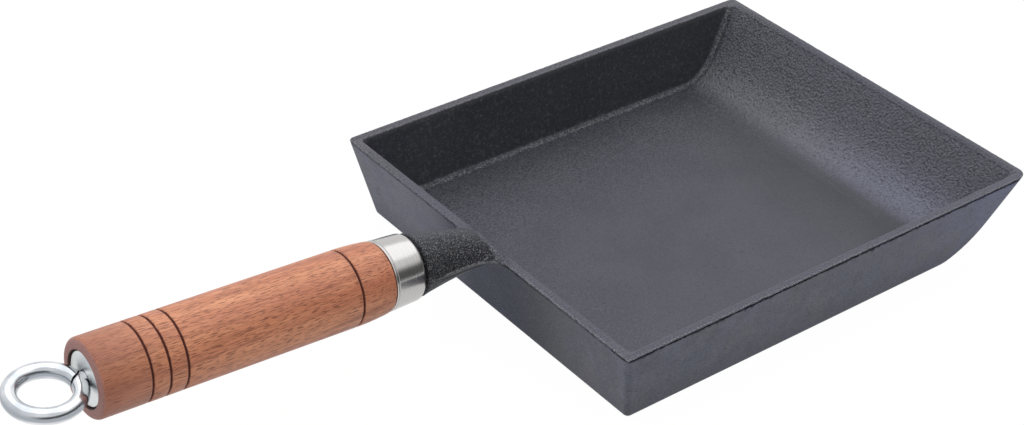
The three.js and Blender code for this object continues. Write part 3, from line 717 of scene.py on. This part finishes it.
def zinc_finish(name, roughness, dark, light, flank_shade_tone=None):
    """Zinc plate, a little wavy, between two tones, with a darker third painted as shade on the eye's flanks
    if asked.
    """
    zinc, shader, place = new_finish(name)
    ripple = place.grain(420, 2.0, 0.5)
    sweep = place.grain(120, 2.0, 0.5)
    tone = sweep.rise(0.3, 0.7).blend(dark, light)
    if flank_shade_tone:
        across, up = on_handle(place).axes()[::2]
        above_ring = up + across * math.tan(EYE_ROLL)
        flank = above_ring.rise(2.1 * MM, 0.6 * MM) * above_ring.rise(-0.8 * MM, 0.1 * MM)
        tone = flank.blend(tone, flank_shade_tone)
    feed(shader, "Base Color", tone)
    feed(shader, "Roughness", roughness + ripple * 0.12)
    shader.inputs["Metallic"].default_value = 1
    feed(shader, "Normal", place.node("ShaderNodeBump", None, {
        "Strength": 0.2, "Distance": 0.08 * MM, "Height": ripple}))
    return zinc


dull_zinc = zinc_finish("dull_zinc_plate", 0.34, (0.74, 0.765, 0.765, 1), (0.80, 0.82, 0.825, 1))
washer.data.materials.append(dull_zinc)
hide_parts("end_washer")
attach(washer, "handle")


# The eye bolt: one steel rod, bent cold into the hanging eye at its end and cut off against its own shank,
# threaded at the tip and zinc plated. It runs through washer, grip and ferrule into the neck's thread.
ROD_RADIUS, ROD_TIP, TIP_CHAMFER = 2.5 * MM, 15.8 * MM, 0.7 * MM
THREAD_PITCH, THREAD_END, THREAD_DEPTH = 0.8 * MM, 33.4 * MM, 0.45 * MM
RINGS_A_TURN, RUNOUT_TURNS = 8, 1.5
ROD_SIDES, BEND_STEPS, EYE_STEPS = 48, 14, 88
EYE_START, EYE_RADIUS, EYE_BEND, EYE_CUT_GAP = 140.5 * MM, 10.15 * MM, 2.6 * MM, 0.15 * MM
EYE_ROLL = math.radians(-3)
CUT_SEARCH_FROM, CUT_SEARCH_TO, CUT_SEARCH_STEP = 0.5, -0.1, 0.002
thread_start = ROD_TIP + TIP_CHAMFER
join_angle = math.asin(EYE_BEND / (EYE_RADIUS + EYE_BEND))
eye_centre = EYE_START + (EYE_RADIUS + EYE_BEND) * math.cos(join_angle)
cut_angle = 2 * math.pi - math.asin((ROD_RADIUS + EYE_CUT_GAP) / (EYE_RADIUS + ROD_RADIUS))


def pick_points(piece, wanted):
    """Selects the points whose place is wanted, with what lies between them, and lets go of the rest."""
    bpy.ops.mesh.select_mode(type="VERT")
    bpy.ops.mesh.select_all(action="DESELECT")
    shape = bmesh.from_edit_mesh(piece.data)
    for point in shape.verts:
        if wanted(point.co):
            point.select_set(True)
    shape.select_flush(True)
    bmesh.update_edit_mesh(piece.data)


def pick_edges(piece, wanted):
    """Selects the edges whose two ends are wanted, and lets go of the rest."""
    bpy.ops.mesh.select_mode(type="EDGE")
    bpy.ops.mesh.select_all(action="DESELECT")
    shape = bmesh.from_edit_mesh(piece.data)
    for edge in shape.edges:
        if wanted(edge.verts[0].co, edge.verts[1].co):
            edge.select_set(True)
    bmesh.update_edit_mesh(piece.data)


bpy.ops.object.select_all(action="DESELECT")
bpy.ops.mesh.primitive_circle_add(vertices=ROD_SIDES, radius=ROD_RADIUS, location=(0, thread_start, 0),
                                  rotation=(math.pi / 2, 0, 0))
bolt = bpy.context.object
bolt.name = "eye_bolt_rod"
bpy.ops.object.transform_apply(location=True, rotation=True, scale=True)
bpy.ops.object.mode_set(mode="EDIT")
bpy.ops.mesh.select_mode(type="EDGE")
bpy.ops.mesh.select_all(action="SELECT")
thread_rings = round((THREAD_END - thread_start) / THREAD_PITCH * RINGS_A_TURN)
bpy.ops.mesh.extrude_region_move(TRANSFORM_OT_translate={"value": (0, THREAD_END - thread_start, 0)})
bpy.ops.mesh.extrude_region_move(TRANSFORM_OT_translate={"value": (0, EYE_START - THREAD_END, 0)})
bpy.ops.mesh.spin(steps=BEND_STEPS, angle=join_angle - math.pi / 2, center=(-EYE_BEND, EYE_START, 0),
                  axis=(0, 0, 1))
bpy.ops.mesh.spin(steps=EYE_STEPS, angle=cut_angle - join_angle, center=(0, eye_centre, 0),
                  axis=(0, 0, 1))
# the cut end: each of its points slides back round the eye until it lies against the shank's bend
shape = bmesh.from_edit_mesh(bolt.data)
for point in shape.verts:
    if point.select:
        from_centre = math.hypot(point.co.x, point.co.y - eye_centre)
        flank = EYE_BEND + EYE_CUT_GAP + (ROD_RADIUS + math.sqrt(max(0, ROD_RADIUS**2 - point.co.z**2))) / 2
        turn = CUT_SEARCH_FROM
        while turn > CUT_SEARCH_TO and math.hypot(from_centre * math.sin(turn) + EYE_BEND,
                                         eye_centre - from_centre * math.cos(turn) - EYE_START) > flank:
            turn -= CUT_SEARCH_STEP
        point.co.x = from_centre * math.sin(turn)
        point.co.y = eye_centre - from_centre * math.cos(turn)
bmesh.update_edit_mesh(bolt.data)
bpy.ops.mesh.edge_face_add()
# the cut end's faces take the second finish, near-black as painted shade in the slit against the shank
shape = bmesh.from_edit_mesh(bolt.data)
for face in shape.faces:
    if len(face.verts) > 4:
        face.material_index = 1
bmesh.update_edit_mesh(bolt.data)
pick_points(bolt, lambda p: p.y < thread_start + TOLERANCE)
bpy.ops.mesh.extrude_region_move(TRANSFORM_OT_translate={"value": (0, -TIP_CHAMFER, 0)})
tip_share = 1 - TIP_CHAMFER / ROD_RADIUS
bpy.ops.transform.resize(value=(tip_share, 1, tip_share), center_override=(0, ROD_TIP, 0))
bpy.ops.mesh.edge_face_add()


def along_thread(a, b):
    """True on the straight edges between the thread's two ends."""
    low, high = sorted((a.y, b.y))
    return abs(low - thread_start) < TOLERANCE and abs(high - THREAD_END) < TOLERANCE


pick_edges(bolt, along_thread)
bpy.ops.mesh.subdivide(number_cuts=thread_rings - 1)
shape = bmesh.from_edit_mesh(bolt.data)
for point in shape.verts:
    if thread_start + TOLERANCE < point.co.y < THREAD_END - TOLERANCE:
        winding = point.co.y / THREAD_PITCH - math.atan2(point.co.x, point.co.z) / (2 * math.pi)
        fade = min(1, (THREAD_END - point.co.y) / (RUNOUT_TURNS * THREAD_PITCH))
        groove = abs(2 * (winding % 1) - 1)
        share = 1 - THREAD_DEPTH * fade * groove / ROD_RADIUS
        point.co.x, point.co.z = point.co.x * share, point.co.z * share
bmesh.update_edit_mesh(bolt.data)
bpy.ops.mesh.select_all(action="SELECT")
bpy.ops.mesh.remove_doubles(threshold=WELD_DISTANCE)
bpy.ops.mesh.normals_make_consistent(inside=False)
bpy.ops.object.mode_set(mode="OBJECT")
bolt.matrix_world = handle_frame @ Matrix.Rotation(EYE_ROLL, 4, "Y")
bpy.ops.object.transform_apply(location=True, rotation=True, scale=True)
bpy.ops.object.shade_smooth_by_angle(angle=SMOOTH_BELOW)
# the eye's flanks below its top take a darker tone: painted shade
bright_zinc = zinc_finish("bright_zinc_plate", 0.14, (0.53, 0.565, 0.61, 1), (0.84, 0.86, 0.885, 1),
                          flank_shade_tone=(0.40, 0.43, 0.47, 1))
# painted shade: the cut end near-black, for the shadow in the slit
cut_end_shade = zinc_finish("painted_shade_cut_end", 0.5, (0.03, 0.03, 0.032, 1), (0.07, 0.07, 0.074, 1))
bolt.data.materials.append(bright_zinc)
bolt.data.materials.append(cut_end_shade)
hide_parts("eye_bolt")
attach(bolt, "eye_bolt")


# The studio: a white table that runs out of sight, one large soft lamp overhead and a pale room, darker
# low down on the near side and a little overhead, which the polished pieces mirror.
TABLE_SIZE, TABLE_DROP = 8, 0.2 * MM
LAMP_SIZE, LAMP_POWER, LAMP_PLACE = (1.9, 1.6), 7.5, (0.15, 0.25, 1.1)
CAMERA_PLACE, CAMERA_LENS, SENSOR_WIDTH = (-0.4334, -0.4402, 0.4255), 74.78, 36
bpy.ops.object.select_all(action="DESELECT")
bpy.ops.mesh.primitive_plane_add(size=TABLE_SIZE, location=(0, 0, -TABLE_DROP))
table = bpy.context.object
table.name = "white_table"
table_white = bpy.data.materials.new("white_table_top")
table_white.use_nodes = True
tree = table_white.node_tree
tree.nodes.clear()
paths = tree.nodes.new("ShaderNodeLightPath").outputs
seen = Channel(tree, paths["Is Camera Ray"]) * 0.95 + Channel(tree, paths["Is Glossy Ray"]) * 0.74
matt = seen.node("ShaderNodeBsdfDiffuse", None, {"Color": (0.63, 0.63, 0.63, 1)})
glow = seen.node("ShaderNodeEmission", None, {"Color": (1, 1, 1, 1), "Strength": 1.03})
top = seen.node("ShaderNodeMixShader", None, {0: seen, 1: matt, 2: glow})
tree.links.new(top.socket, tree.nodes.new("ShaderNodeOutputMaterial").inputs["Surface"])
table.data.materials.append(table_white)

lamp_data = bpy.data.lights.new("overhead_softbox", "AREA")
lamp_data.shape, lamp_data.energy = "RECTANGLE", LAMP_POWER
lamp_data.size, lamp_data.size_y = LAMP_SIZE
lamp = bpy.data.objects.new("overhead_softbox", lamp_data)
lamp.location = LAMP_PLACE
lamp.rotation_euler = (Vector((0, 0, 0)) - lamp.location).to_track_quat("-Z", "Y").to_euler()
bpy.context.scene.collection.objects.link(lamp)

room = bpy.data.worlds.new("pale_room")
bpy.context.scene.world = room
room.use_nodes = True
tree = room.node_tree
tree.nodes.clear()
look = Channel(tree, tree.nodes.new("ShaderNodeTexCoord").outputs["Generated"])
look_x, look_y, look_z = look.axes()
facing_front = (look_x * 0.35 - look_y * 0.94).rise(0.0, 0.7)
low_front = facing_front * look_z.rise(0.58, 0.36)
strength = 0.95 - 0.84 * low_front - look_z.rise(0.6, 1.0) * 0.2
camera_ray = Channel(tree, tree.nodes.new("ShaderNodeLightPath").outputs["Is Camera Ray"])
strength = strength * (1 - camera_ray) + camera_ray
walls = look.node("ShaderNodeBackground", None, {"Color": (1, 1, 1, 1), "Strength": strength})
tree.links.new(walls.socket, tree.nodes.new("ShaderNodeOutputWorld").inputs["Surface"])

camera_data = bpy.data.cameras.new("photo_view")
camera_data.lens, camera_data.sensor_width = CAMERA_LENS, SENSOR_WIDTH
camera = bpy.data.objects.new("photo_view", camera_data)
sight_right = Vector((0.79184, -0.60961, 0.03683))
sight_up = Vector((0.32142, 0.46727, 0.82363))
sight_back = Vector((-0.51930, -0.64034, 0.56594))
camera.matrix_world = Matrix.Translation(CAMERA_PLACE) @ Matrix(
    (sight_right, sight_up, sight_back)).transposed().to_4x4()
bpy.context.scene.collection.objects.link(camera)
bpy.context.scene.camera = camera
bpy.context.scene.view_settings.view_transform = "Standard"
